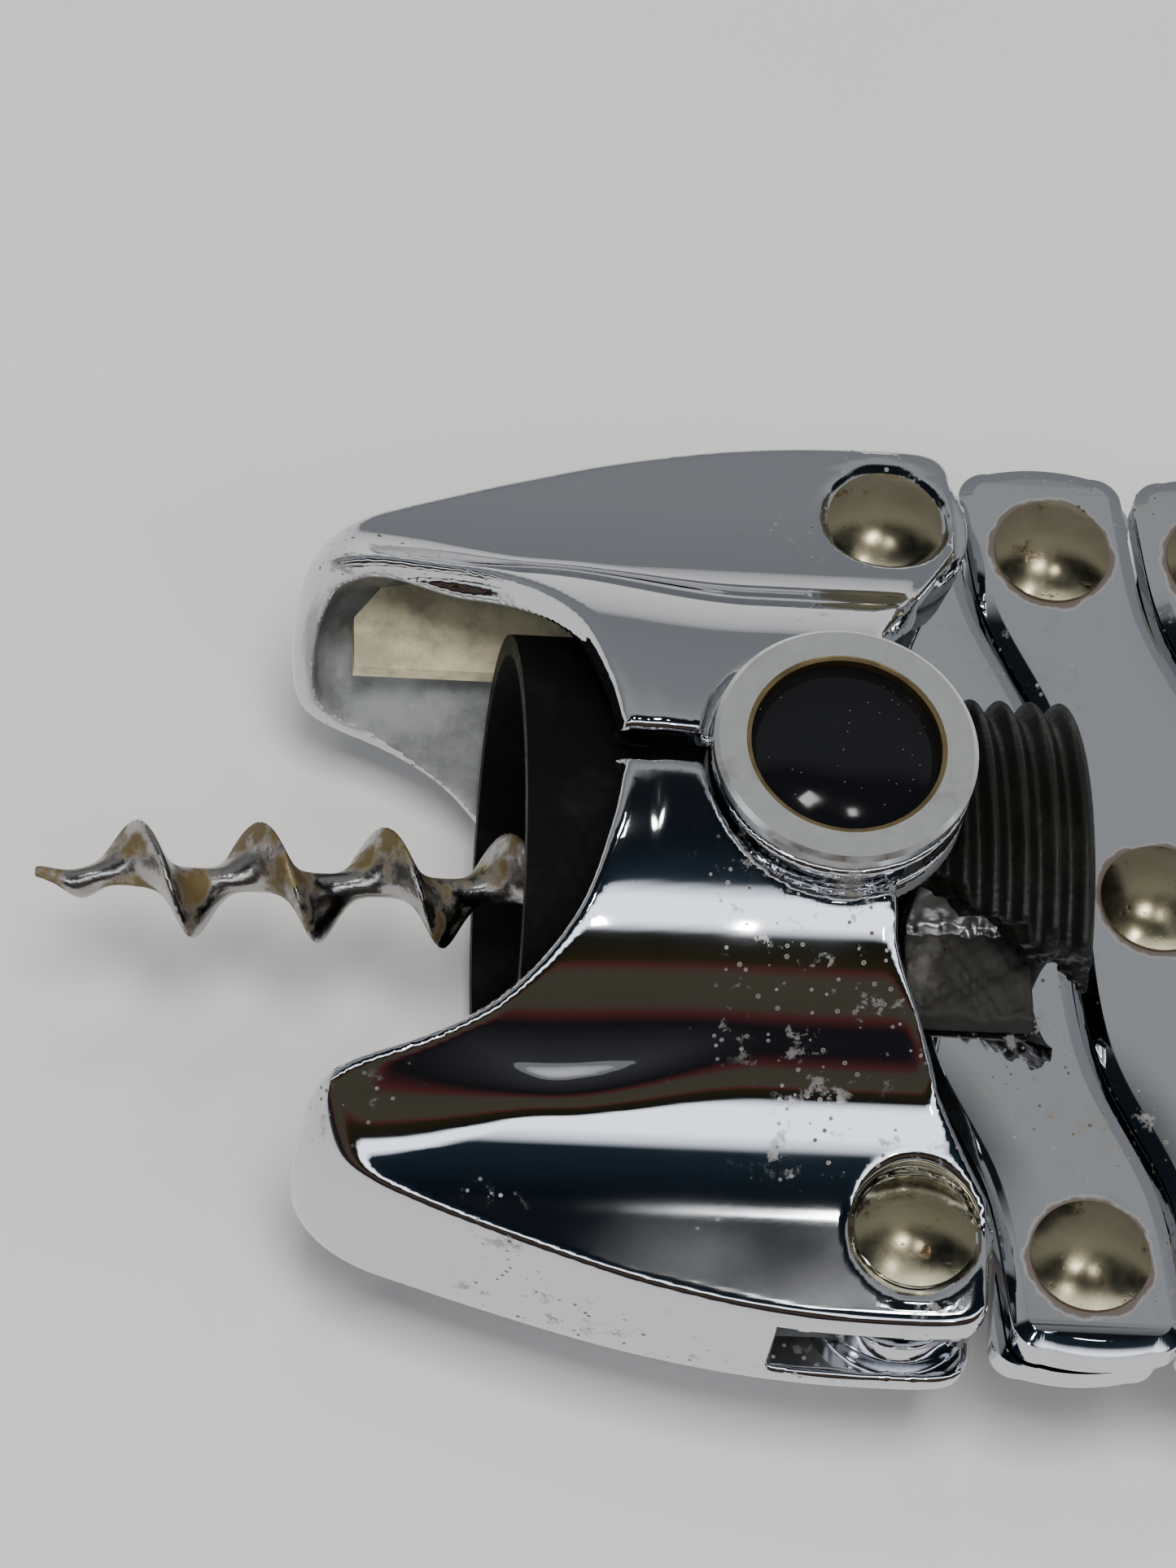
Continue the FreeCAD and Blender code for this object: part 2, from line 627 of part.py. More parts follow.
def worm():
    """Steel wire helix with a sharp end, a straight shank and a flat eye for the first crossing."""
    curve, sharp = worm_path()
    wire = SIZE["wire_radius"]
    ends = (curve.FirstParameter, curve.LastParameter)
    split = ends[0] + (ends[1] - ends[0]) * sharp

    def swept(start, stop, size_start, size_stop):
        rings = [Part.Wire(Part.Circle(curve.value(at), curve.tangent(at)[0], size).toShape())
                 for at, size in ((start, size_start), (stop, size_stop))]
        return Part.Wire(curve.toShape(start, stop)).makePipeShell(rings, True, False)

    steel = swept(split, ends[1], wire, wire).fuse(swept(ends[0], split, 0.15, wire))
    half = SIZE["worm_eye_half"]
    eye = Part.makeCylinder(SIZE["worm_eye"], 2 * half, Vector(0, 0, -half), Vector(0, 0, 1))
    clear = SIZE["rivet_radius"] + SIZE["running_fit"]
    bore = Part.makeCylinder(clear, 10, Vector(0, 0, -5), Vector(0, 0, 1))
    feature = doc.addObject("Part::Feature", "Worm")
    feature.Shape = steel.fuse(eye).cut(bore)
    node(feature, "worm", centre_place(1))


def carrier_half(label, flipped):
    """Block that holds the worm's pin, under the ribbed grip."""
    core, low = SIZE["core_radius"], SIZE["grip_low"]
    reach = math.sqrt(core * core - low * low)
    body = doc.addObject("PartDesign::Body", "Carrier")
    sketch = sketch_on(body, "YZ_Plane", "HalfRound", outline((-reach, low), [[(0, core), (reach, low)],
                                                                             [(-reach, low)]]))
    pad(body, sketch, "Block", "2*Sizes.core_half", both=True)
    pocket(body, circle_sketch(body, "PinCircle", (0, 0), "Sizes.rivet_radius"), "PinHole")
    node(body, label, centre_place(1), flipped)


def grip(label, flipped):
    """Ribbed shell over the worm carrier."""
    crest, groove = SIZE["grip_radius"], SIZE["grip_radius"] - SIZE["rib_depth"]
    core, half = SIZE["core_radius"], SIZE["grip_half"]
    start, stop = math.radians(40), math.radians(163)

    def spot(radius, angle):
        return (-radius * math.cos(angle), radius * math.sin(angle))

    middle = (start + stop) / 2
    shell = outline(spot(core, start), [
        [spot(core, middle), spot(core, stop)],
        [spot(crest, stop)],
        [spot(crest, middle), spot(crest, start)],
        [spot(core, start)],
    ])
    body = doc.addObject("PartDesign::Body", "Grip")
    sketch = sketch_on(body, "YZ_Plane", "Arch", shell)
    pad(body, sketch, "Shell", "2*Sizes.grip_half", both=True)
    step = 2 * half / RIB_COUNT
    for rib in range(1, RIB_COUNT):
        x = -half + rib * step
        valley = outline((x - 0.3 * step, crest + 0.1), [[(x, groove), (x + 0.3 * step, crest + 0.1)],
                                                         [(x - 0.3 * step, crest + 0.1)]])
        turned(body, f"Valley{rib}", valley, cut=True, about="H_Axis", plane="XY_Plane")
    node(body, label, centre_place(1), flipped)


def hub_pin():
    """Plain pin through the first crossing, the worm's eye and both carrier halves."""
    body = doc.addObject("PartDesign::Body", "HubPin")
    sketch = circle_sketch(body, "PinCircle", (0, 0), "Sizes.rivet_radius")
    pad(body, sketch, "Pin", "2*Sizes.hub_pin_end", both=True)
    node(body, "hub_pin", centre_place(1))


# ---------------------------------------------------------------- tail

TAPER_START, TIP_HALF = 16.0, 2.6
SLOT_END = 6.2


def tail_handle():
    """Fish-tail pull: a slotted head on the tail pivot, flaring to a forked fin."""
    reach, spread, thick = SIZE["tail_length"], SIZE["tail_spread"], SIZE["tail_half"]
    ear = 4.6
    plan = outline((0, ear), [
        [(7.0, 5.2), (13.0, 8.0)],
        [(24.0, 15.0), (reach - 2.4, spread)],
        [(reach - 0.5, spread), (reach, spread - 2.2)],
        [(reach - 6.5, 0), (reach, -spread + 2.2)],
        [(reach - 0.5, -spread), (reach - 2.4, -spread)],
        [(24.0, -15.0), (13.0, -8.0)],
        [(7.0, -5.2), (0, -ear)],
        [(-ear, 0), (0, ear)],
    ])
    body = doc.addObject("PartDesign::Body", "TailHandle")
    pad(body, sketch_on(body, "XY_Plane", "Plan", plan), "Fin", "2*Sizes.tail_half", both=True)
    slim = outline((TAPER_START, thick + 1), [
        [(reach + 1, thick + 1)],
        [(reach + 1, TIP_HALF)],
        [(26.0, TIP_HALF + 1), (TAPER_START, thick + 1)],
    ])
    for name, up in (("TopTaper", 1), ("BackTaper", -1)):
        flank = sketch_on(body, "XZ_Plane", name + "Side", [mirrored(edge, up) for edge in slim])
        cut = body.newObject("PartDesign::Pocket", name)
        cut.Profile = flank
        cut.SideType = "Symmetric"
        cut.Type = "ThroughAll"
    inner = SIZE["jaw_inner"]
    room = [(-8, -inner), (SLOT_END, -inner), (SLOT_END, inner), (-8, inner)]
    slot = sketch_on(body, "XZ_Plane", "SlotSide", polygon(room))
    cut = body.newObject("PartDesign::Pocket", "LinkSlot")
    cut.Profile = slot
    cut.SideType = "Symmetric"
    cut.Type = "ThroughAll"
    hole = "Sizes.rivet_radius+Sizes.running_fit"
    pocket(body, circle_sketch(body, "PinCircle", (0, 0), hole), "PinHole")
    node(body, "tail_handle", centre_place(5))


def mirrored(edge, up):
    """An outline edge, or its reflection in the sketch's horizontal axis."""
    def turned_over(point):
        return Vector(point.x, -point.y, 0)

    if up > 0:
        return edge
    if isinstance(edge, Part.LineSegment):
        return Part.LineSegment(turned_over(edge.StartPoint), turned_over(edge.EndPoint))
    half = (edge.FirstParameter + edge.LastParameter) / 2
    return Part.Arc(turned_over(edge.StartPoint), turned_over(edge.value(half)), turned_over(edge.EndPoint))


# ---------------------------------------------------------------- the whole corkscrew

bottle_guide()
for side, turned_over in (("front", False), ("back", True)):
    hinge_pin(f"jaw_hinge_pin_{side}", turned_over)
    eye_ring(f"eye_ring_{side}", turned_over)
    eye_collar(f"eye_collar_{side}", turned_over)
    eye_cap(f"eye_cap_{side}", turned_over)
    carrier_half(f"worm_carrier_{side}", turned_over)
    grip(f"worm_grip_{side}", turned_over)
    for stage in range(1, 5):
        bar(f"{side}_bar_{stage}", stage, turned_over)
    tail_link(f"{side}_tail_link", turned_over)
jaw("upper_jaw", "upper_jaw_liner", False)
jaw("lower_jaw", "lower_jaw_liner", True)
worm()
hub_pin()
tail_handle()

bar_face = SIZE["layer_gap"] + SIZE["bar_thick"]
rivet("jaw_rivet_upper", row_place(1), SIZE["jaw_seat"])
rivet("jaw_rivet_lower", row_place(1), SIZE["jaw_seat"], True)
for row in range(2, 6):
    rivet(f"row_{row}_rivet_upper", row_place(row), bar_face)
    rivet(f"row_{row}_rivet_lower", row_place(row), bar_face, True)
for stage in range(2, 5):
    rivet(f"crossing_{stage}_rivet", centre_place(stage), bar_face)
rivet("tail_rivet", centre_place(5), SIZE["tail_half"])

doc.recompute()
problems = [f"{obj.Label} {obj.State}" for obj in doc.Objects
            if "Invalid" in obj.State or "Error" in obj.State]
for piece in nodes:
    if piece.Shape.isNull() or not piece.Shape.isValid() or not piece.Shape.Solids:
        problems.append(f"{piece.Label} has no valid solid")
if problems:
    raise SystemExit("; ".join(problems))

os.makedirs("parts", exist_ok=True)
for piece in nodes:
    piece.Shape.exportStep(f"parts/{piece.Label}.step")
    box = piece.Shape.BoundBox
    print(f"{piece.Label:24s} {len(piece.Shape.Solids)} solid {piece.Shape.Volume:9.1f} mm3 "
          f"x {box.XMin:6.1f} {box.XMax:6.1f}  y {box.YMin:6.1f} {box.YMax:6.1f}  "
          f"z {box.ZMin:5.1f} {box.ZMax:5.1f}")
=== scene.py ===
"""Fish-shaped lazy-tongs corkscrew: materials, finished meshes, table, light and camera."""
import json
import math

import bmesh
import bpy
import numpy as np
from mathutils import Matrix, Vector
from mathutils.geometry import tessellate_polygon


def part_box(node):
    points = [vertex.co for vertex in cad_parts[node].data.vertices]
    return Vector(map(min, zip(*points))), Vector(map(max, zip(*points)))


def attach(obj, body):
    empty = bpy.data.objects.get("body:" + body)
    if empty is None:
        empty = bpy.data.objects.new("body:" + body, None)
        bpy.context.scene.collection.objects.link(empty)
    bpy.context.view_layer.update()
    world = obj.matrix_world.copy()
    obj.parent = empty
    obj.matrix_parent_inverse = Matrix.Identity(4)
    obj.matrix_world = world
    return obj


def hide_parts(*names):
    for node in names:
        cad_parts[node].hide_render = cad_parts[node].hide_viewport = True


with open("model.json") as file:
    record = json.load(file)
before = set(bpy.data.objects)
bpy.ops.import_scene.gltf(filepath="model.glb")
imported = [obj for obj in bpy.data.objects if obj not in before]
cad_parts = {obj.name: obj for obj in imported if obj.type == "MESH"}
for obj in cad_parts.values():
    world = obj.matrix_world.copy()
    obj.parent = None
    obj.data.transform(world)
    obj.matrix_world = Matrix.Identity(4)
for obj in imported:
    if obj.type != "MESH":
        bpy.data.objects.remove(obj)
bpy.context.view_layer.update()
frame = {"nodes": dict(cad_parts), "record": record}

MM = 0.001
NODES = frame["nodes"]


# ---------------------------------------------------------------- places taken from the frame
def middle(node):
    low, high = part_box(node)
    return (low + high) / 2


HINGE = Vector((middle("eye_ring_front").x, 0, middle("hub_pin").z))


# ---------------------------------------------------------------- node helpers
# Sockets of a Mix node that carry colours.
MIX_FACTOR, MIX_FIRST, MIX_SECOND, MIX_RESULT = 0, 6, 7, 2


class Graph:
    """A material's node tree, with short calls to add and join nodes."""

    def __init__(self, name):
        self.material = bpy.data.materials.new(name)
        self.material.use_nodes = True
        self.tree = self.material.node_tree
        self.shader = self.tree.nodes["Principled BSDF"]
        self.where = self.add("ShaderNodeTexCoord").outputs["Object"]

    def add(self, kind, settings=None, **inputs):
        """Makes a node, with its settings and its named inputs."""
        made = self.tree.nodes.new(kind)
        for key, value in (settings or {}).items():
            setattr(made, key, value)
        for key, value in inputs.items():
            self.feed(made.inputs[key.replace("_", " ")], value)
        return made

    def feed(self, socket, value):
        """Joins another node's output to a socket, or gives the socket a constant."""
        if isinstance(value, bpy.types.NodeSocket):
            self.tree.links.new(value, socket)
        else:
            socket.default_value = value

    def noise(self, scale, detail=3.0, roughness=0.5):
        made = self.add("ShaderNodeTexNoise", Vector=self.where, Scale=scale, Detail=detail,
                        Roughness=roughness)
        return made.outputs["Fac"]

    def cells(self, scale):
        """Distance to the nearest of a set of scattered points."""
        made = self.add("ShaderNodeTexVoronoi", Vector=self.where, Scale=scale)
        return made.outputs["Distance"]

    def ramp(self, value, low, high, start=0.0, end=1.0):
        """Smooth change from start to end while the value goes from low to high."""
        made = self.add("ShaderNodeMapRange", {"interpolation_type": "SMOOTHSTEP"})
        for socket, item in zip(made.inputs, (value, low, high, start, end)):
            self.feed(socket, item)
        return made.outputs["Result"]

    def maths(self, how, a, b):
        made = self.add("ShaderNodeMath", {"operation": how})
        self.feed(made.inputs[0], a)
        self.feed(made.inputs[1], b)
        return made.outputs["Value"]

    def mix(self, amount, a, b):
        made = self.add("ShaderNodeMix", {"data_type": "RGBA"})
        self.feed(made.inputs[MIX_FACTOR], amount)
        self.feed(made.inputs[MIX_FIRST], a)
        self.feed(made.inputs[MIX_SECOND], b)
        return made.outputs[MIX_RESULT]

    def bump(self, height, strength, distance):
        made = self.add("ShaderNodeBump", Height=height, Strength=strength, Distance=distance)
        self.feed(self.shader.inputs["Normal"], made.outputs["Normal"])

    def shade(self, **values):
        for key, value in values.items():
            self.feed(self.shader.inputs[key.replace("_", " ")], value)


def colour(red, green, blue):
    return (red, green, blue, 1.0)


# Distances from a rivet's middle, in metres, between which its ring of rust fades out.
RUST_INNER, RUST_OUTER, RUST_UNEVEN = 0.0040, 0.0045, 0.0002


def rust_ring(graph, place, uneven):
    """1 within reach of a rivet's axis, 0 away from it."""
    flat = graph.add("ShaderNodeVectorMath", {"operation": "MULTIPLY"})
    graph.feed(flat.inputs[0], graph.where)
    graph.feed(flat.inputs[1], (1, 1, 0))
    away = graph.add("ShaderNodeVectorMath", {"operation": "DISTANCE"})
    graph.feed(away.inputs[0], flat.outputs[0])
    graph.feed(away.inputs[1], (place.x, place.y, 0))
    reach = graph.maths("ADD", away.outputs["Value"], uneven)
    return graph.ramp(reach, RUST_INNER, RUST_OUTER, 1.0, 0.0)


def chrome(name="chrome", rivets=()):
    """Plating with dull patches, brown stains and small pits; a ring of rust round each rivet's place."""
    graph = Graph(name)
    zone = graph.ramp(graph.noise(75, 3), 0.50, 0.62)
    stain = graph.maths("MULTIPLY", zone, graph.ramp(graph.noise(520, 5, 0.7), 0.56, 0.66))
    specks = graph.maths("MULTIPLY", zone, graph.ramp(graph.cells(1100), 0.20, 0.10))
    worn = graph.mix(graph.maths("MULTIPLY", stain, 0.75), colour(0.62, 0.63, 0.66), colour(0.20, 0.17, 0.14))
    worn = graph.mix(specks, worn, colour(0.10, 0.08, 0.06))
    marks = graph.maths("MAXIMUM", graph.maths("MULTIPLY", stain, 0.5), specks)
    uneven = graph.ramp(graph.noise(500, 3), 0.3, 0.7, -RUST_UNEVEN, RUST_UNEVEN) if rivets else None
    for place in rivets:
        ring = rust_ring(graph, place, uneven)
        worn = graph.mix(graph.maths("MULTIPLY", ring, 0.9), worn, colour(0.060, 0.036, 0.018))
        marks = graph.maths("MAXIMUM", marks, ring)
    clean = graph.ramp(graph.noise(60, 4), 0.3, 0.8, 0.02, 0.09)
    graph.shade(Base_Color=worn, Metallic=graph.ramp(marks, 0.0, 1.0, 1.0, 0.25),
                Roughness=graph.maths("MAXIMUM", clean, graph.maths("MULTIPLY", marks, 0.55)))
    graph.bump(graph.noise(45, 2), 0.2, 0.0002)
    return graph.material


def satin_chrome():
    """Finely ground plating of the eye rings."""
    graph = Graph("satin_chrome")
    grain = graph.noise(900, 5, 0.6)
    scuffs = graph.ramp(graph.noise(230, 5, 0.65), 0.52, 0.72)
    metal = graph.mix(scuffs, colour(0.84, 0.84, 0.83), colour(0.60, 0.59, 0.56))
    graph.shade(Base_Color=metal, Metallic=1.0, Roughness=graph.ramp(grain, 0.2, 0.8, 0.24, 0.40))
    graph.bump(grain, 0.12, 0.0001)
    return graph.material


def nickel():
    """Yellowed nickel of the rivet heads."""
    graph = Graph("nickel_rivet")
    mottled = graph.noise(500, 4)
    rust = graph.ramp(graph.noise(700, 5, 0.7), 0.58, 0.72)
    metal = graph.mix(mottled, colour(0.34, 0.29, 0.17), colour(0.46, 0.42, 0.29))
    graph.shade(Base_Color=graph.mix(rust, metal, colour(0.23, 0.12, 0.05)), Metallic=1.0,
                Roughness=graph.ramp(mottled, 0.3, 0.7, 0.18, 0.30))
    graph.bump(graph.maths("SUBTRACT", mottled, rust), 0.12, 0.0001)
    return graph.material


def worm_steel():
    """Steel of the worm, brown where the rust is."""
    graph = Graph("worm_steel")
    rust = graph.ramp(graph.noise(260, 6, 0.6), 0.46, 0.60)
    gold = graph.ramp(graph.noise(420, 4), 0.55, 0.70)
    metal = graph.mix(gold, colour(0.36, 0.35, 0.34), colour(0.44, 0.37, 0.20))
    graph.shade(Base_Color=graph.mix(rust, metal, colour(0.125, 0.090, 0.036)),
                Metallic=graph.ramp(rust, 0.0, 1.0, 1.0, 0.35),
                Roughness=graph.ramp(rust, 0.0, 1.0, 0.24, 0.62))
    graph.bump(graph.noise(1200, 5), 0.35, 0.0002)
    return graph.material


def steel(name, tone, rough, metallic=1.0):
    """Bare sheet or bar with faint streaks."""
    graph = Graph(name)
    streaks = graph.noise(350, 5, 0.6)
    light = colour(*tone)
    dark = colour(*(part * 0.55 for part in tone))
    graph.shade(Base_Color=graph.mix(graph.ramp(streaks, 0.35, 0.7), light, dark), Metallic=metallic,
                Roughness=graph.ramp(streaks, 0.2, 0.8, rough, rough + 0.2))
    graph.bump(streaks, 0.12, 0.0001)
    return graph.material


def cabochon():
    """Polished black with a little dust."""
    graph = Graph("black_cap")
    dust = graph.ramp(graph.cells(1500), 0.10, 0.03)
    graph.shade(Base_Color=graph.mix(dust, colour(0.004, 0.004, 0.005), colour(0.10, 0.10, 0.11)),
                Roughness=graph.ramp(graph.noise(300), 0.3, 0.7, 0.04, 0.12), Specular_IOR_Level=0.28)
    graph.bump(graph.noise(90, 2), 0.06, 0.0002)
    return graph.material


def moulding(name, tone, rough, scuffed, gloss):
    """Dark moulded plastic with a fine grain, paler where it is scuffed."""
    graph = Graph(name)
    fine = graph.noise(1600, 5, 0.6)
    scuff = graph.ramp(graph.noise(180, 5, 0.65), 0.50, 0.75)
    dark = colour(*tone)
    light = colour(*(part * scuffed + 0.002 for part in tone))
    graph.shade(Base_Color=graph.mix(scuff, dark, light), Specular_IOR_Level=gloss,
                Roughness=graph.ramp(fine, 0.2, 0.8, rough, rough + 0.25))
    graph.bump(fine, 0.25, 0.0002)
    return graph.material


MATERIALS = {
    "chrome": chrome(),
    "satin_chrome": satin_chrome(),
    "nickel_rivet": nickel(),
    "worm_steel": worm_steel(),
    "pin_steel": steel("pin_steel", (0.42, 0.41, 0.40), 0.3),
    "liner_steel": steel("liner_steel", (0.98, 0.88, 0.60), 0.34, 0.45),
    "raw_casting": steel("raw_casting", (0.42, 0.43, 0.43), 0.42, 0.55),
    "worn_metal": steel("worn_metal", (0.80, 0.80, 0.78), 0.25),
    "brass": steel("brass", (0.34, 0.26, 0.13), 0.35),
    "black_cap": cabochon(),
    "black_moulding": moulding("black_moulding", (0.002, 0.002, 0.002), 0.45, 2.4, 0.12),
    "worn_grip": moulding("worn_grip", (0.005, 0.0045, 0.0035), 0.26, 2.2, 0.45),
    "carrier_block": moulding("carrier_block", (0.022, 0.021, 0.019), 0.5, 4.0, 0.35),
}
SLOTS = {item["node"]: item["material_slot"] for item in frame["record"]["subparts"]}


def dress(piece, name):
    """Gives a piece one material."""
    piece.data.materials.clear()
    piece.data.materials.append(MATERIALS[name])


def put(name, data):
    """Puts a mesh in the scene."""
    made = bpy.data.objects.new(name, data)
    bpy.context.scene.collection.objects.link(made)
    return made


def hand_over(made, slot, body, replaced):
    """Says what a finished piece is made of, what it moves with and which CAD nodes it stands for."""
    dress(made, slot)
    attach(made, body)
    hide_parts(*replaced)
    return made


# ---------------------------------------------------------------- meshes from fields of signed distance
def soft_max(a, b, radius):
    """Where both solids are, with the edge between them rounded."""
    near = np.maximum(radius - np.abs(a - b), 0)
    return np.maximum(a, b) + near * near / (4 * radius)


def soft_min(a, b, radius):
    """Where either solid is, with a fillet between them."""
    return -soft_max(-a, -b, radius)


def ease(value, start, end):
    """0 before start and 1 past end, with a smooth change between."""
    share = np.clip((value - start) / (end - start), 0, 1)
    return share * share * (3 - 2 * share)


def through(points, steps=8):
    """Smooth closed loop through the points; a point given twice is a corner."""
    ring = np.array(points, float)
    before, after, beyond = np.roll(ring, 1, 0), np.roll(ring, -1, 0), np.roll(ring, -2, 0)
    made = []
    for p0, p1, p2, p3 in zip(before, ring, after, beyond):
        if np.allclose(p1, p2):
            continue
        for share in np.arange(steps) / steps:
            bend, twist = 2 * p0 - 5 * p1 + 4 * p2 - p3, 3 * p1 - p0 - 3 * p2 + p3
            made.append(p1 + 0.5 * share * ((p2 - p0) + share * (bend + share * twist)))
    return np.array(made)


def loop_distance(loop, x, y):
    """Distance from a closed loop in a plane, negative inside."""
    nearest = np.full(np.broadcast(x, y).shape, 1e9)
    inside = np.zeros(nearest.shape, bool)
    for (ax, ay), (bx, by) in zip(loop, np.roll(loop, -1, 0)):
        ex, ey = bx - ax, by - ay
        wx, wy = x - ax, y - ay
        share = np.clip((wx * ex + wy * ey) / (ex * ex + ey * ey + 1e-12), 0, 1)
        nearest = np.minimum(nearest, (wx - ex * share) ** 2 + (wy - ey * share) ** 2)
        if ay != by:
            crosses = ((ay > y) != (by > y)) & (x < ex * (y - ay) / ey + ax)
            inside ^= crosses
    return np.where(inside, -1, 1) * np.sqrt(nearest)


def slab(value, low, high):
    """Distance from the layer between two levels."""
    return np.abs(value - (low + high) / 2) - (high - low) / 2


def drum(x, y, z, radius, low, high, centre=(0, 0)):
    """Distance from an upright cylinder."""
    return np.maximum(np.hypot(x - centre[0], y - centre[1]) - radius, slab(z, low, high))


def brick(x, y, z, low, high):
    """Distance from a block between two corners."""
    sides = [slab(value, a, b) for value, a, b in zip((x, y, z), low, high)]
    return np.maximum(np.maximum(sides[0], sides[1]), sides[2])


AXES = np.eye(3, dtype=int)
CORNERS = [(0, 0), (0, 1), (1, 0), (1, 1)]


def slope(field, points, reach):
    """Gradient of a field at some points."""
    steps = np.eye(3) * reach
    return np.stack([field(*(points + s).T) - field(*(points - s).T) for s in steps], 1) / (2 * reach)


def settle(field, points, step):
    """Moves points on to the zero surface."""
    for _ in range(3):
        across = slope(field, points, step * 0.1)
        steep = np.maximum((across ** 2).sum(1), 0.05)
        move = across * (field(*points.T) / steep)[:, None]
        size = np.linalg.norm(move, axis=1, keepdims=True)
        points = points - move * np.minimum(1, 0.5 * step / np.maximum(size, 1e-9))
    return points


def crossings(values, cells):
    """Mean place, in grid steps, where the zero surface cuts the edges of each cell."""
    total, hits = np.zeros((len(cells), 3)), np.zeros((len(cells), 1))
    for axis in range(3):
        along, side, over = (np.roll(AXES, -axis, 0)[n] for n in range(3))
        for i, j in CORNERS:
            start = cells + i * side + j * over
            a, b = values[tuple(start.T)], values[tuple((start + along).T)]
            cut = ((a < 0) != (b < 0))[:, None]
            share = np.where(cut[:, 0], a / np.where(a == b, 1, a - b), 0)[:, None]
            total += np.where(cut, start + share * along, 0)
            hits += cut
    return total / hits


def rings(inside, number):
    """A quad, joining the four cells about it, for each grid edge that leaves or enters the solid."""
    quads = []
    for axis in range(3):
        side, over = AXES[(axis + 1) % 3], AXES[(axis + 2) % 3]
        ends = tuple(slice(1 if n == axis else 0, None) for n in range(3))
        starts = tuple(slice(0, -1 if n == axis else None) for n in range(3))
        edges = np.argwhere(inside[starts] != inside[ends])
        edges = edges[(edges[:, (axis + 1) % 3] > 0) & (edges[:, (axis + 2) % 3] > 0)]
        ring = np.stack([number[tuple((edges - a * side - b * over).T)]
                         for a, b in ((1, 1), (0, 1), (0, 0), (1, 0))], 1)
        leaving = inside[tuple(edges.T)]
        quads.append(np.where(leaving[:, None], ring, ring[:, ::-1]))
    return np.concatenate(quads)


def skin(field, low, high, step):
    """Points and quads of the closed surface where the field is zero: one point in each cell it crosses."""
    axes = [np.arange(a, b + step, step) for a, b in zip(low, high)]
    grid = np.meshgrid(*axes, indexing="ij", sparse=True)
    values = np.broadcast_to(field(*grid), [len(a) for a in axes])
    inside = values < 0
    count = sum(inside[i:i - 1 or None, j:j - 1 or None, k:k - 1 or None].astype(np.int8)
                for i in (0, 1) for j in (0, 1) for k in (0, 1))
    crossed = (count > 0) & (count < 8)
    cells = np.argwhere(crossed)
    number = np.full(crossed.shape, -1)
    number[crossed] = np.arange(len(cells))
    points = np.array(low) + step * crossings(values, cells)
    return settle(field, points, step), rings(inside, number)


def solid(name, points, faces, slot, body, replaced, turned=False):
    """Makes a piece from points in millimetres about the hinge; a turned one lies over the worm's axis."""
    if turned:
        points = points * (1, -1, -1)
    data = bpy.data.meshes.new(name)
    data.from_pydata((np.array(HINGE) + points * MM).tolist(), [], [list(face) for face in faces])
    data.shade_smooth()
    return hand_over(put(name, data), slot, body, replaced)


def second_material(piece, name, chosen):
    """Gives the chosen faces of a piece another material."""
    piece.data.materials.append(MATERIALS[name])
    piece.data.polygons.foreach_set("material_index", np.asarray(chosen, np.int32))


# ---------------------------------------------------------------- jaws
def about_hinge(node):
    """A CAD node's box in millimetres about the hinge."""
    low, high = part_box(node)
    return (low - HINGE) / MM, (high - HINGE) / MM


def centre_of(node):
    """Where an upright pin or rivet stands, in millimetres about the hinge."""
    low, high = about_hinge(node)
    return tuple((low + high) / 2)[:2]


PAD = centre_of("jaw_rivet_upper")
HUB = centre_of("hub_pin")
LUG = about_hinge("eye_ring_front")[1].x
CHEEK, CHEEK_FLARE = 19.8, 1.1
FIN_HALF_AT_PAD, FIN_LEAN, FIN_CURVE, FIN_CURVE_END = 5.9, 0.17, 0.035, 13
NOSE_START, NOSE_LENGTH, NOSE_HALF = -12, 21.6, 21.5
RIM_EDGE, INNER_EDGE, RECESS_EDGE = 0.9, 0.5, 0.6
BACK = [(-33.6, 19.4), (-33.0, 21.2), (-31.0, 23.0), (-27.0, 25.0), (-18.0, 28.2), (-10.0, 30.5),
        (-1.0, 32.0)]
MOUTH = [(-12.9, 1.0), (-13.8, 1.6), (-14.6, 5.2), (-16.6, 10.6), (-20.6, 14.7), (-26.0, 16.9), (-31.2, 17.9),
         (-33.0, 18.3)]
REAR = [(5.0, 32.3), (8.6, 32.0), (10.1, 30.9), (10.4, 29.0), (10.3, 23.8), (10.0, 23.0), (4.3, 13.0),
        (3.5, 9.5), (3.4, 6.0)]
JAW_PLAN = through([(3.4, 1.0), (3.4, 1.0)] + MOUTH + BACK + REAR)
HOLLOW_PLAN = through([(18, -12), (18, -12), (-33.3, -12), (-33.3, -12)] + BACK + [(18, 32.5), (18, 32.5)])

# Round parts of a jaw and its holes: radius, low level, high level and where they stand.
HINGE_AXIS = (0, 0)
RECESSES = [(LUG + 0.5, 14.4, 17.1, HINGE_AXIS), (LUG + 0.5, 18.5, 26, HINGE_AXIS),
            (LUG + 0.5, -26, -17.1, HINGE_AXIS)]
LUGS_AND_PADS = [(LUG, 17.2, 19.4, HINGE_AXIS), (LUG, -17.0, -14.8, HINGE_AXIS),
                 (5.6, 2.95, 5.2, PAD), (5.0, -5.2, -0.3, PAD)]
HOLES = [(2.55, -30, 30, HINGE_AXIS), (1.95, -12, 12, PAD), (4.1, 5.2, 12, PAD), (4.1, -12, -5.2, PAD)]
NECK = ((-8.1, 5.0, -17.0), (3.2, 12.2, -14.8))
BAR_SLOT = ((-2.6, 20, -0.3), (14, 35, 2.95))
UNDER_SLOT = ((-2.6, 29.5, -2.95), (14, 35, -0.2))
INNER_PAD = 5.0


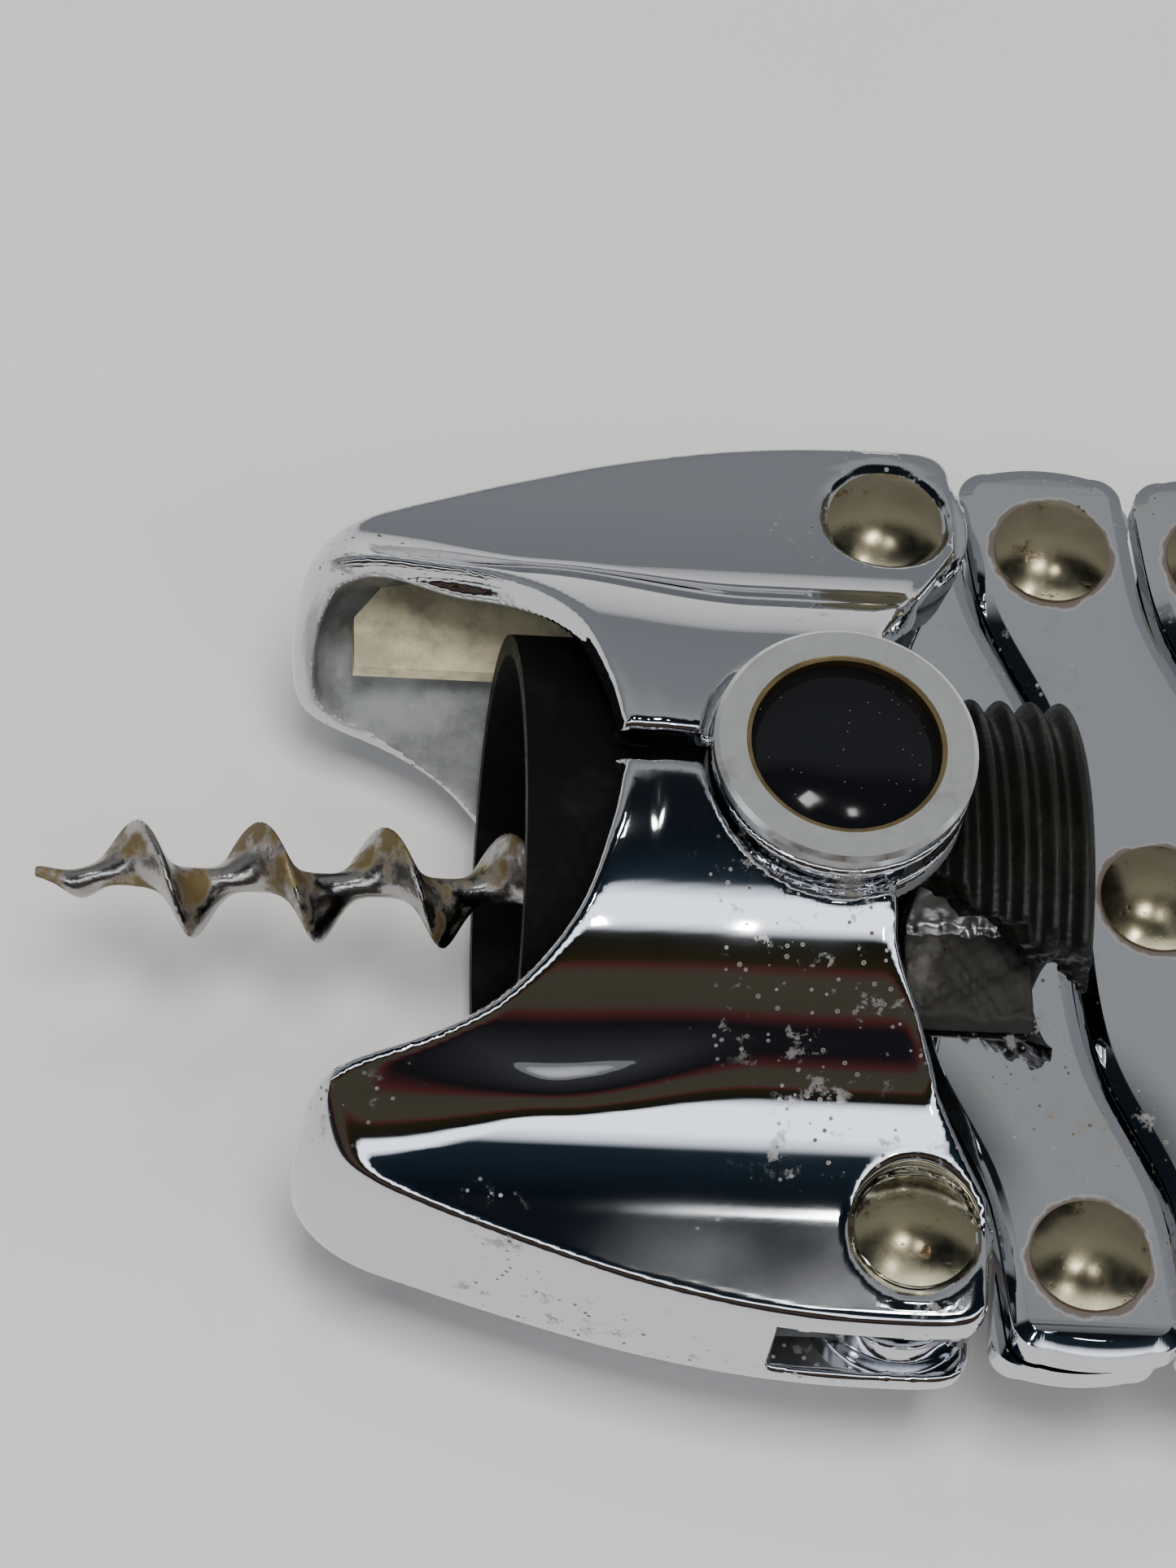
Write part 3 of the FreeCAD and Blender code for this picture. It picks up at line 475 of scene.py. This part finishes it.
def jaw_skin(x, y, z):
    """Outside of a jaw before its edges: the cheek's round running into the hollow-ground outer part."""
    cheek = np.hypot(y, z) - CHEEK - CHEEK_FLARE * ease(-x, 4, 18)
    inward = PAD[1] - y
    ground = FIN_CURVE * np.clip(inward, 0, FIN_CURVE_END) ** 2
    fin = (np.abs(z) - FIN_HALF_AT_PAD - FIN_LEAN * inward - ground) * 0.9
    body = soft_min(cheek, fin, 0.9 + 2.5 * ease(-x, 17, 30))
    half = NOSE_HALF + 1.5 * np.maximum(x - NOSE_START, 0)
    nose = (np.hypot(np.maximum(NOSE_START - x, 0) / NOSE_LENGTH, z / half) - 1) * 15
    return soft_max(body, nose, 2.0)


def jaw_outer(x, y, z):
    """The skin stopped at the fish's outline, with a rounder edge towards the nose."""
    return soft_max(jaw_skin(x, y, z), loop_distance(HOLLOW_PLAN, x, y), 0.9 + 3.0 * ease(-x, 27, 33))


def jaw_wall(x):
    """Thickness of the casting, less towards the nose."""
    return 2.3 - 0.9 * ease(-x, 22, 29)


def mouth_plan(x, y, z):
    """Distance from the jaw's plan, its mouth edge drawn in where the surface leaves the cheek's round."""
    r = np.maximum(np.hypot(y, z), 1)
    radial = (np.clip(CHEEK / r, 1, 1.17) - 1) * (1 - ease(y, 18, 23)) * ease(x, -32, -26)
    return loop_distance(JAW_PLAN, x, y * (1 + radial))


def jaw_field(x, y, z):
    """A jaw: hollow shell, lugs, rivet pads and neck, then its holes and slot."""
    outer = jaw_outer(x, y, z)
    rim = soft_max(outer, mouth_plan(x, y, z), RIM_EDGE)
    shell = soft_max(rim, -outer - jaw_wall(x), INNER_EDGE)
    for cut in RECESSES:
        shell = soft_max(shell, -drum(x, y, z, *cut), RECESS_EDGE)
    for part in LUGS_AND_PADS:
        shell = np.minimum(shell, drum(x, y, z, *part))
    neck = np.maximum(brick(x, y, z, *NECK), jaw_skin(x, y, z) + 0.3)
    shell = np.minimum(shell, neck)
    for cut in HOLES:
        shell = soft_max(shell, -drum(x, y, z, *cut), RECESS_EDGE)
    under = np.maximum(brick(x, y, z, *UNDER_SLOT), INNER_PAD - np.hypot(x - PAD[0], y - PAD[1]))
    return np.maximum(np.maximum(shell, -brick(x, y, z, *BAR_SLOT)), -under)


# The plating stops this far short of the hollow.
UNPLATED = 0.22
JAW_LOW, JAW_HIGH = (-35, -9.2, -21.5), (11.8, 33.8, 21.5)


def jaws():
    """One casting, used twice: chrome outside, unplated inside."""
    points, faces = skin(jaw_field, JAW_LOW, JAW_HIGH, 0.33)
    x, y, z = points[faces].mean(1).T
    inner = jaw_outer(x, y, z) < UNPLATED - jaw_wall(x)
    for name, turned in (("upper_jaw", False), ("lower_jaw", True)):
        made = solid(name + "_casting", points, faces, "chrome", name, [name], turned)
        second_material(made, "raw_casting", inner)


# ---------------------------------------------------------------- worm
WORM_TIP, WORM_END, WORM_TOP, PITCH = -49.0, -15.0, -43.45, 8.0
BLADE_OFFSET, BLADE_REACH, BLADE_THICK = 1.55, 2.25, 1.35
SHANK, FLAT_EYE, FLAT_EYE_HALF = 1.45, 4.2, 1.6


def worm_field(x, y, z):
    """A blade that turns about the axis, drawn out to a point, then a round shank and a flat eye."""
    turn = 2 * math.pi * (x - WORM_TOP) / PITCH
    out = y * np.cos(turn) + z * np.sin(turn)
    across = z * np.cos(turn) - y * np.sin(turn)
    point = 0.10 + 0.90 * ease(x, WORM_TIP - 0.5, WORM_TIP + 7.5)
    shank = ease(x, WORM_END, WORM_END + 5)
    offset = BLADE_OFFSET * point * (1 - shank)
    reach = BLADE_REACH * point * (1 - shank) + SHANK * shank
    thick = BLADE_THICK * point ** 0.6 * (1 - shank) + SHANK * shank
    blade = (np.hypot((out - offset) / reach, across / thick) - 1) * thick * 0.8
    blade = np.maximum(blade, np.maximum(WORM_TIP - x, x - HUB[0]))
    return soft_min(blade, drum(x, y, z, FLAT_EYE, -FLAT_EYE_HALF, FLAT_EYE_HALF, HUB), 0.8)


def worm():
    """Blade, shank and eye in one piece."""
    step = 0.28
    points, faces = skin(worm_field, (-50, -5, -5), (HUB[0] + 5.2, 5, 5), step)
    solid("worm_blade", points, faces, "worm_steel", "worm_carrier", ["worm"])


# ---------------------------------------------------------------- worm carrier and its broken grip
def rough(x, y, z, size):
    """Even unevenness between -1 and 1, for a broken face."""
    waves = ((1.0, 0.7, 0.3, 0.0), (-0.6, 1.1, 0.8, 1.7), (0.4, -0.9, 1.3, 4.1), (1.9, 1.4, -0.7, 2.6))
    return sum(np.sin((a * x + b * y + c * z) * 2 * math.pi / size + start) for a, b, c, start in waves) / 4


CORE, GRIP, GRIP_END = 10.8, 13.25, 5.6
RIB_DEPTH, RIB_PITCH = 0.5, 1.95
CARRIER_LOW = 3.0
BREAK_START, BREAK_SLOPE = -4.2, 0.42
LEDGE_Y, LEDGE_Z = -3.2, 4.4
BARE_Y, BARE_END, BARE_LOW = (-4.2, -2.6), 12.9, 3.2
BLOCK_CORNER = through([(4, 20), (4, 20), (17.5, 20), (17.5, 20), (17.3, -4), (17.3, -4), (14.4, -4.4),
                        (14.2, -10.4), (13.2, -11.6), (4, -11.6), (4, -11.6)])


def whole_grip_field(x, y, z):
    """Ribbed half ring."""
    along, r = x - HUB[0], np.hypot(y, z)
    ribs = RIB_DEPTH * np.cos(along / RIB_PITCH * 2 * math.pi + math.pi)
    ring = soft_max(r - GRIP - ribs, np.abs(along) - GRIP_END, 0.8)
    return np.maximum(np.maximum(ring, CORE + 0.1 - r), CARRIER_LOW - z)


def grip_field(x, y, z):
    """The ring snapped off along a ragged line low on its side."""
    ragged = 0.7 * rough(x, y, z, 6) + 0.3 * rough(y, z, x, 2)
    snapped = BREAK_START - BREAK_SLOPE * (x - HUB[0] + GRIP_END) - y + ragged
    return soft_max(whole_grip_field(x, y, z), snapped, 0.3)


def carrier_field(x, y, z):
    """Half round block under the grip, with a rough ledge where the grip has gone."""
    ends = np.abs(x - HUB[0]) - GRIP_END + 0.2
    block = np.maximum(np.maximum(np.hypot(y, z) - CORE, ends), CARRIER_LOW - z)
    worn = 0.35 * rough(x, y, z, 3.1) + 0.18 * rough(z, x, y, 1.3)
    ledge = soft_max(y - LEDGE_Y + 0.25 * worn, LEDGE_Z + worn - z, 0.6)
    return soft_max(np.maximum(block, loop_distance(BLOCK_CORNER, x, y)), -ledge, 0.3)


def grip():
    """Broken grip on the front, whole one on the back, and the bare block with its strip of metal."""
    step = 0.25
    low, high = (HUB[0] - 7, -15, 2), (HUB[0] + 7, 15, 15)
    for side, field in (("front", grip_field), ("back", whole_grip_field)):
        points, faces = skin(field, low, high, step)
        made = solid(f"ribbed_grip_{side}", points, faces, "black_moulding", "worm_carrier",
                     [f"worm_grip_{side}"], turned=side == "back")
        dress(made, "worn_grip")
    points, faces = skin(carrier_field, (HUB[0] - 7, -12.5, 2), (HUB[0] + 7, 12.5, 12.5), step)
    block = solid("carrier_block_front", points, faces, "carrier_block", "worm_carrier",
                  ["worm_carrier_front"])
    x, y, z = points[faces].mean(1).T
    second_material(block, "worn_metal", (slab(y, *BARE_Y) < 0) & (x < BARE_END) & (z > BARE_LOW))


# ---------------------------------------------------------------- eyes
CAP_RADIUS, CAP_FLOOR, CAP_EDGE, CAP_TOP = 6.0, 20.0, 20.12, 20.98
CAP_ROUND = 2.6


def turned_shape(profile, around):
    """Points and faces of a closed shape turned about Z through the hinge: profile is radius and height."""
    points = [(0, 0, profile[0][1])]
    faces = []
    for radius, height in profile:
        for step in range(around):
            angle = 2 * math.pi * step / around
            points.append((radius * math.cos(angle), radius * math.sin(angle), height))
    points.append((0, 0, profile[-1][1]))
    last = len(points) - 1
    for step in range(around):
        beside = (step + 1) % around
        faces.append((0, 1 + beside, 1 + step))
        for row in range(len(profile) - 1):
            a, b = 1 + row * around, 1 + (row + 1) * around
            faces.append((a + step, a + beside, b + beside, b + step))
        faces.append((last - around + step, last - around + beside, last))
    return np.array(points), faces


def eye_caps():
    """Black cabochons, nearly flat on top and rolling over to the edge."""
    profile = [(CAP_RADIUS, CAP_FLOOR), (CAP_RADIUS, CAP_EDGE)]
    for share in np.linspace(0.985, 0.03, 26):
        rise = (CAP_TOP - CAP_EDGE) * (1 - share ** CAP_ROUND)
        profile.append((CAP_RADIUS * share, CAP_EDGE + rise))
    points, faces = turned_shape(profile, 96)
    solid("eye_dome_front", points, faces, "black_cap", "head", ["eye_cap_front"])
    solid("eye_dome_back", points, faces, "black_cap", "head", ["eye_cap_back"], turned=True)


# ---------------------------------------------------------------- bars
def outlines(node, height):
    """Closed loops, in millimetres about the hinge, where a level plane cuts a CAD node."""
    cut = bmesh.new()
    cut.from_mesh(NODES[node].data)
    bmesh.ops.remove_doubles(cut, verts=cut.verts, dist=1e-6)
    level = (0, 0, HINGE.z + height * MM)
    found = bmesh.ops.bisect_plane(cut, geom=cut.verts[:] + cut.edges[:] + cut.faces[:], dist=1e-7,
                                   plane_co=level, plane_no=(0, 0, 1), clear_inner=True, clear_outer=True)
    rim = {e for e in found["geom_cut"] if isinstance(e, bmesh.types.BMEdge)}
    loops = []
    while rim:
        edge = rim.pop()
        first, here = edge.verts
        chain = [first.co, here.co]
        while here != first:
            edge = next(e for e in here.link_edges if e in rim)
            rim.remove(edge)
            here = edge.other_vert(here)
            chain.append(here.co)
        loop = np.array([(co - HINGE)[:2] for co in chain[:-1]]) / MM
        loops.append(thinned(loop))
    cut.free()
    return sorted(loops, key=lambda loop: -abs(area(loop)))


def area(loop):
    """Area inside a loop, negative when it runs clockwise."""
    x, y = loop.T
    return 0.5 * float(np.sum(x * np.roll(y, -1) - y * np.roll(x, -1)))


def thinned(loop, least=0.05):
    """The loop, anticlockwise, without points closer together than least."""
    kept = [loop[0]]
    for place in loop[1:]:
        if np.linalg.norm(place - kept[-1]) > least and np.linalg.norm(place - kept[0]) > least:
            kept.append(place)
    kept = np.array(kept)
    return kept if area(kept) > 0 else kept[::-1]


def inset(loop, amount):
    """The loop moved inwards along its corners' bisectors."""
    along = np.roll(loop, -1, 0) - loop
    along /= np.linalg.norm(along, axis=1, keepdims=True)
    both = along + np.roll(along, 1, 0)
    both /= np.linalg.norm(both, axis=1, keepdims=True)
    return loop + amount * np.stack([-both[:, 1], both[:, 0]], 1)


def layered(mesh, loops, profile):
    """Closed shell through the loops: profile gives inset and height from bottom to top."""
    rows = []
    for amount, height in profile:
        edges = [inset(loops[0], amount)] + loops[1:]
        rows.append([[mesh.verts.new((*place, height)) for place in edge] for edge in edges])
    for low, high in zip(rows, rows[1:]):
        for n, (a, b) in enumerate(zip(low, high)):
            for i in range(len(a)):
                j = (i + 1) % len(a)
                ring = (a[i], a[j], b[j], b[i])
                mesh.faces.new(ring if n == 0 else ring[::-1])
    for row, up in ((rows[0], False), (rows[-1], True)):
        flat = [place for ring in row for place in ring]
        for corners in tessellate_polygon([[place.co for place in ring] for ring in row]):
            face = mesh.faces.new([flat[i] for i in corners])
            face.normal_update()
            if (face.normal.z > 0) != up:
                face.normal_flip()


STRIP, STRIP_DROP = 0.95, 0.42
POCKET = 1.8


def face_profile(top):
    """Inset and height of a bar's face: upright side, rounded edge, then a strip sloping up to the top."""
    edge = top - STRIP_DROP
    return [(0, POCKET), (0, edge - 0.18), (0.05, edge - 0.06), (0.18, edge),
            (STRIP - 0.06, top - 0.03), (STRIP + 0.06, top)]


def plate(name, node, body):
    """A bar: an inner layer with the holes and pocket of the CAD node, under a face with a sloping strip."""
    low, high = about_hinge(node)
    front = high.z > 0
    inner, top = (low.z, high.z) if front else (-high.z, -low.z)
    sign = 1 if front else -1
    mesh = bmesh.new()
    layered(mesh, outlines(node, sign * POCKET * 0.55), [(0, inner), (0, POCKET)])
    layered(mesh, outlines(node, sign * (POCKET + 0.1)), face_profile(top))
    if not front:
        bmesh.ops.scale(mesh, vec=(1, 1, -1), verts=mesh.verts)
        bmesh.ops.reverse_faces(mesh, faces=mesh.faces)
    bmesh.ops.scale(mesh, vec=(MM, MM, MM), verts=mesh.verts)
    bmesh.ops.translate(mesh, vec=HINGE, verts=mesh.verts)
    data = bpy.data.meshes.new(name)
    mesh.to_mesh(data)
    mesh.free()
    data.shade_smooth()
    data.set_sharp_from_angle(angle=math.radians(28))
    dress(hand_over(put(name, data), "chrome", body, [node]), "chrome_bar")


def bars():
    """Every bar and tail link, with rust round its rivets."""
    heads = [middle(name) for name in NODES if name.startswith(("row_", "crossing_"))]
    MATERIALS["chrome_bar"] = chrome("chrome_bar", heads)
    for side in ("front", "back"):
        for stage in range(1, 5):
            plate(f"{side}_plate_{stage}", f"{side}_bar_{stage}", f"{side}_bar_{stage}")
        plate(f"{side}_tail_plate", f"{side}_tail_link", f"{side}_tail_link")


# ---------------------------------------------------------------- tail
FIN = [(-4.6, 0), (-3.3, 3.2), (0, 4.6), (7, 5.2), (13, 8), (24, 15.2), (38.4, 23.8), (40.4, 23.6),
       (40.8, 21.8), (36.4, 11)]
FIN_PLAN = through(FIN + [(34.6, 0)] + [(x, -y) for x, y in FIN[:0:-1]])
FIN_HALF, FIN_TIP, FIN_EDGE = 5.2, 2.6, 1.3
RAY_DEPTH, RAYS = 0.7, 9
RIVET_SEAT, RIVET_HOLE = 4.3, 1.95
LINK_SLOT, LINK_SLOT_END = 2.95, 6.2


def fin_field(x, y, z):
    """Fish-tail pull about its pivot: it thins towards the tips and has a fan of shallow rays."""
    top = FIN_HALF - (FIN_HALF - FIN_TIP) * ease(x, 9, 34)
    fan = 0.5 - 0.5 * np.cos(RAYS * 2 * np.arctan2(y, x + 6))
    top = top - RAY_DEPTH * fan * ease(x, 11, 22)
    blade = soft_max((np.abs(z) - top) * 0.9, loop_distance(FIN_PLAN, x, y), FIN_EDGE)
    blade = np.minimum(blade, drum(x, y, z, RIVET_SEAT, -FIN_HALF, FIN_HALF))
    blade = np.maximum(blade, -brick(x, y, z, (-9, -30, -LINK_SLOT), (LINK_SLOT_END, 30, LINK_SLOT)))
    return np.maximum(blade, -drum(x, y, z, RIVET_HOLE, -9, 9))


def tail():
    """The pull, moved from its own pivot to the tail rivet."""
    points, faces = skin(fin_field, (-6, -25, -6), (42, 25, 6), 0.4)
    low, high = about_hinge("tail_rivet")
    pivot = np.array(low + high) / 2
    solid("tail_pull", points + pivot, faces, "chrome", "tail", ["tail_handle"])


# ---------------------------------------------------------------- table, light, camera
def table():
    """Pale table top."""
    mesh = bmesh.new()
    bmesh.ops.create_grid(mesh, x_segments=24, y_segments=24, size=1.2)
    data = bpy.data.meshes.new("table_top")
    mesh.to_mesh(data)
    mesh.free()
    graph = Graph("table_top")
    tone = graph.mix(graph.noise(14, 4), colour(0.60, 0.585, 0.57), colour(0.66, 0.65, 0.645))
    graph.shade(Base_Color=tone, Roughness=0.55)
    data.materials.append(graph.material)
    put("table_top", data)


def softbox(name, place, size, power, tint=(1, 1, 1), mirrored=False):
    """Lit rectangle facing the hinge; only a mirrored one is seen in polished faces."""
    data = bpy.data.lights.new(name, "AREA")
    data.shape = "RECTANGLE"
    data.size, data.size_y = size
    data.energy = power
    data.color = tint
    made = bpy.data.objects.new(name, data)
    made.location = place
    made.rotation_mode = "QUATERNION"
    made.rotation_quaternion = (HINGE - place).to_track_quat("-Z", "Y")
    made.visible_glossy = mirrored
    bpy.context.scene.collection.objects.link(made)


# Light of the room by angle in degrees, from the horizon behind the object over the top to the viewer's side.
WINDOW = (2.5, 2.65, 2.85)
ROOM = [
    (0, 0.24, 0.25, 0.26),
    (38, 0.27, 0.28, 0.29),
    (55, 0.38, 0.40, 0.40),
    (65, 0.38, 0.40, 0.40),
    (72, 0.012, 0.014, 0.018),
    (92, 0.006, 0.010, 0.015),
    (112, 0.018, 0.030, 0.042),
    (118, *WINDOW),
    (127, *WINDOW),
    (131, 0.012, 0.012, 0.012),
    (141, 0.03, 0.025, 0.01),
    (143, 0.10, 0.03, 0.03),
    (146, 0.075, 0.068, 0.048),
    (158, 0.07, 0.063, 0.045),
    (161, 0.09, 0.025, 0.025),
    (165, 0.012, 0.012, 0.014),
    (180, 0.05, 0.05, 0.055),
]


def room():
    """Pale room behind the object, dark on the viewer's side with one long window."""
    world = bpy.data.worlds.new("room")
    bpy.context.scene.world = world
    world.use_nodes = True
    tree = world.node_tree
    where = tree.nodes.new("ShaderNodeTexCoord")
    split = tree.nodes.new("ShaderNodeSeparateXYZ")
    angle = tree.nodes.new("ShaderNodeMath")
    angle.operation = "ARCTAN2"
    share = tree.nodes.new("ShaderNodeMapRange")
    share.inputs["From Max"].default_value = math.pi
    blend = tree.nodes.new("ShaderNodeValToRGB")
    tree.links.new(where.outputs["Generated"], split.inputs[0])
    tree.links.new(split.outputs["Z"], angle.inputs[0])
    tree.links.new(split.outputs["Y"], angle.inputs[1])
    tree.links.new(angle.outputs["Value"], share.inputs["Value"])
    tree.links.new(share.outputs["Result"], blend.inputs[0])
    stops = blend.color_ramp.elements
    while len(stops) < len(ROOM):
        stops.new(0.5)
    for stop, (degrees, *_) in zip(stops, ROOM):
        stop.position = degrees / 180
    for stop, (_, *tone) in zip(stops, ROOM):
        stop.color = colour(*tone)
    tree.links.new(blend.outputs[0], tree.nodes["Background"].inputs[0])


CAMERA_PLACE = Vector((-70.7, -235.5, 426.7))
CAMERA_TURN = (0.519, -0.116, 0.046)
LENS, SENSOR = 175.8, 36


def camera():
    """Long lens from above, on the worm's side."""
    data = bpy.data.cameras.new("camera")
    data.sensor_width = SENSOR
    data.lens = LENS
    data.clip_start, data.clip_end = 0.01, 20
    made = bpy.data.objects.new("camera", data)
    made.location = HINGE + CAMERA_PLACE * MM
    made.rotation_mode = "ZYX"
    made.rotation_euler = CAMERA_TURN
    bpy.context.scene.collection.objects.link(made)
    bpy.context.scene.camera = made


# Small lamps: direction from the hinge, size in metres and watts.
LAMP_DISTANCE = 1.2
LAMPS = {
    "lamp": ((-0.27, -0.30, 0.91), (0.07, 0.07), 0.8),
    "eye_lamp": ((-0.10, 0.11, 0.99), (0.16, 0.10), 1.2),
    "side_lamp": ((0.17, 0.03, 0.985), (0.08, 0.06), 0.4),
    "far_lamp": ((0.24, -0.59, 0.77), (0.05, 0.05), 0.5),
}


def lights():
    """A key light overhead, towards the viewer, and small lamps for the highlights."""
    softbox("overhead", HINGE + Vector((-0.07, -0.27, 0.92)), (0.24, 0.24), 10.2, (1.0, 0.99, 0.97))
    for name, (way, size, power) in LAMPS.items():
        softbox(name, HINGE + LAMP_DISTANCE * Vector(way), size, power, mirrored=True)


for name, node in NODES.items():
    dress(node, SLOTS[name])
jaws()
worm()
grip()
eye_caps()
bars()
tail()
table()
room()
lights()
camera()
